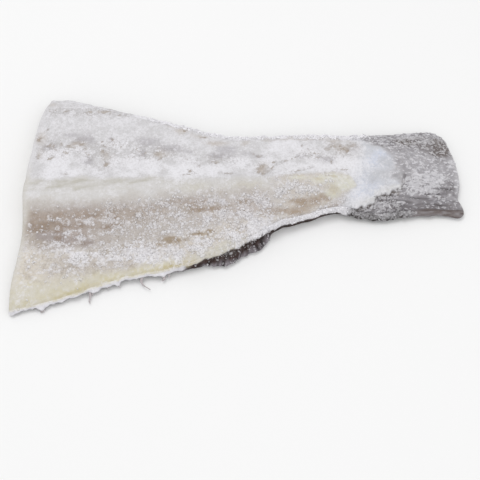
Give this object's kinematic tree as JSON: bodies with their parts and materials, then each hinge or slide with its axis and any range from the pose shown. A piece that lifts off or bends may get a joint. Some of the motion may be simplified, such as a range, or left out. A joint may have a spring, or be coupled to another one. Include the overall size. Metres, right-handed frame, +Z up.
{
  "type": "salted dried cod",
  "caption": "Tail half of a split, salted and dried cod, flesh side up, tapering from a wide straight cut to a narrow skin-covered tail.",
  "frame": {"origin": "centre of the footprint, on the surface that the fish lies on", "axes": "+X along the fish from the cut to the tail, +Y from the thin belly edge to the thick back edge, +Z up through the flesh side"},
  "size_m": [0.38, 0.2054, 0.028],
  "materials": {
    "salted_flesh": "matte, crusted with fine salt, ivory to grey-brown flesh and grey skin"
  },
  "bodies": {
    "root": {"salt_cod": "salted_flesh"}
  },
  "joints": []
}
